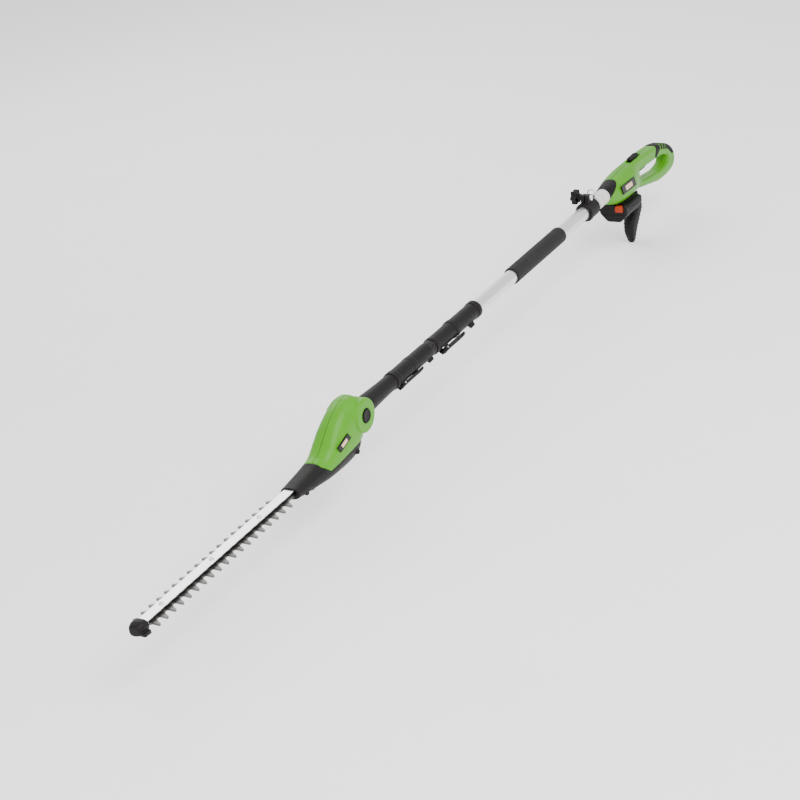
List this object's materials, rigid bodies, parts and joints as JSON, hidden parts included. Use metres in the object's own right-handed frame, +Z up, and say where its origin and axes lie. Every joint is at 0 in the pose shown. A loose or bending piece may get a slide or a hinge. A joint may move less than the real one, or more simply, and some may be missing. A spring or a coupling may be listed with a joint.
{
  "type": "pole hedge trimmer",
  "caption": "Cordless long-reach hedge trimmer with a tilting cutting head, telescoping pole with lever clamps, strap clamp, loop handle and slide-on battery.",
  "frame": {"origin": "bottom centre of the bounding box, at the foot of the rear stand, below the pole", "axes": "+X along the pole to the blade tip, +Y to the user's left, +Z up"},
  "size_m": [2.1849, 0.071, 0.201],
  "materials": {
    "green_shell": "semi-gloss moulded, fine grain",
    "black_plastic": "matt textured",
    "nameplate": "gloss black, blank",
    "soft_grip": "soft-touch, ribbed",
    "foam": "closed-cell foam",
    "aluminium_tube": "satin anodised",
    "bar_metal": "brushed",
    "blade_steel": "ground, dark",
    "steel": "zinc plated",
    "brass": "machined",
    "board": "solder-masked board",
    "grey_plastic": "satin",
    "cell_sleeve": "shrink-sleeved cells",
    "red_plastic": "semi-gloss"
  },
  "bodies": {
    "handle": {"pole_tube": "aluminium_tube", "foam_grip": "foam", "strap_clamp_left": "black_plastic", "strap_clamp_right": "black_plastic", "clamp_bolt": "steel", "tube_collar": "grey_plastic", "housing_left": "green_shell", "housing_right": "green_shell", "mouth_collar": "black_plastic", "grip_saddle": "soft_grip", "trigger_pin": "steel", "switch_module": "black_plastic", "control_board": "board", "handle_badge": "nameplate", "battery_rail": "black_plastic", "rear_stand": "black_plastic", "housing_screw_1": "steel", "housing_screw_2": "steel", "housing_screw_3": "steel"},
    "coupler": {"middle_tube": "black_plastic", "front_clamp": "black_plastic", "rear_clamp": "black_plastic", "end_ring": "black_plastic", "front_lever_pin": "steel", "rear_lever_pin": "steel"},
    "neck": {"neck_tube": "black_plastic", "knuckle": "black_plastic"},
    "head": {"head_shell_left": "green_shell", "head_shell_right": "green_shell", "gear_cover": "black_plastic", "tilt_pin_cap": "black_plastic", "tilt_pin": "steel", "head_badge": "nameplate", "motor_can": "steel", "crank_axle": "steel", "gear_plate": "bar_metal", "blade_bar": "bar_metal", "blade_bolt_1": "steel", "blade_bolt_2": "steel", "blade_bolt_3": "steel", "tip_guard": "black_plastic", "plate_screw_1": "steel", "plate_screw_2": "steel"},
    "tilt_release": {"tilt_button": "black_plastic"},
    "pinion": {"drive_pinion": "brass"},
    "crank": {"crank_gear": "steel"},
    "upper_blade": {"blade_upper": "blade_steel"},
    "lower_blade": {"blade_lower": "blade_steel"},
    "front_clamp_lever": {"front_lever": "black_plastic"},
    "rear_clamp_lever": {"rear_lever": "black_plastic"},
    "strap_knob": {"clamp_knob": "black_plastic"},
    "strap_loop": {"strap_ring": "steel"},
    "throttle": {"trigger": "black_plastic"},
    "lock_off": {"lock_off_button": "black_plastic"},
    "battery": {"battery_case_upper": "black_plastic", "battery_case_lower": "black_plastic", "cell_pack": "cell_sleeve"},
    "battery_release": {"battery_button": "red_plastic"}
  },
  "joints": [
    {"name": "pole_slide", "type": "slide", "parent": "handle", "child": "coupler", "axis": [1, 0, 0], "range_m": [-0.13, 0]},
    {"name": "neck_slide", "type": "slide", "parent": "coupler", "child": "neck", "axis": [1, 0, 0], "range_m": [0, 0.07]},
    {"name": "front_lever_hinge", "type": "hinge", "parent": "coupler", "child": "front_clamp_lever", "pos_m": [0.2055, 0.01414, 0.13986], "axis": [0, -0.7071, -0.7071], "range_deg": [0, 95]},
    {"name": "rear_lever_hinge", "type": "hinge", "parent": "coupler", "child": "rear_clamp_lever", "pos_m": [0.0385, 0.01612, 0.13788], "axis": [0, -0.7071, -0.7071], "range_deg": [0, 95]},
    {"name": "head_tilt", "type": "hinge", "parent": "neck", "child": "head", "pos_m": [0.3735, 0, 0.159], "axis": [0, 1, 0], "range_deg": [-45, 60]},
    {"name": "tilt_button_press", "type": "slide", "parent": "head", "child": "tilt_release", "axis": [0, -1, 0], "range_m": [0, 0.003], "stiffness_N_per_m": 400, "springref_m": -0.001},
    {"name": "crank_spin", "type": "hinge", "parent": "head", "child": "crank", "pos_m": [0.4665, 0, 0.118], "axis": [0, 0, 1], "continuous": true},
    {"name": "pinion_spin", "type": "hinge", "parent": "head", "child": "pinion", "pos_m": [0.4365, 0, 0.118], "axis": [0, 0, 1], "continuous": true},
    {"name": "upper_blade_slide", "type": "slide", "parent": "head", "child": "upper_blade", "axis": [1, 0, 0], "range_m": [-0.0075, 0.0075]},
    {"name": "lower_blade_slide", "type": "slide", "parent": "head", "child": "lower_blade", "axis": [1, 0, 0], "range_m": [-0.0075, 0.0075]},
    {"name": "strap_knob_turn", "type": "hinge", "parent": "handle", "child": "strap_knob", "pos_m": [-0.6575, -0.026, 0.182], "axis": [0, 1, 0], "range_deg": [0, 720]},
    {"name": "strap_ring_swing", "type": "hinge", "parent": "handle", "child": "strap_loop", "pos_m": [-0.6715, 0.006, 0.177], "axis": [0, 1, 0], "range_deg": [-90, 15]},
    {"name": "trigger_pull", "type": "hinge", "parent": "handle", "child": "throttle", "pos_m": [-0.9715, 0, 0.154], "axis": [0, -1, 0], "range_deg": [0, 6], "stiffness_Nm_per_rad": 2, "springref_deg": -3.44},
    {"name": "lock_off_push", "type": "slide", "parent": "handle", "child": "lock_off", "axis": [1, 0, 0], "range_m": [0, 0.005], "stiffness_N_per_m": 300, "springref_m": -0.001},
    {"name": "battery_slide", "type": "slide", "parent": "handle", "child": "battery", "axis": [1, 0, 0], "range_m": [0, 0.085]},
    {"name": "battery_button_press", "type": "slide", "parent": "battery", "child": "battery_release", "axis": [-1, 0, 0], "range_m": [0, 0.003], "stiffness_N_per_m": 300, "springref_m": -0.001}
  ],
  "couplings": [
    {"joint": "pinion_spin", "follows": "crank_spin", "ratio": -4},
    {"joint": "lower_blade_slide", "follows": "upper_blade_slide", "ratio": -1}
  ]
}
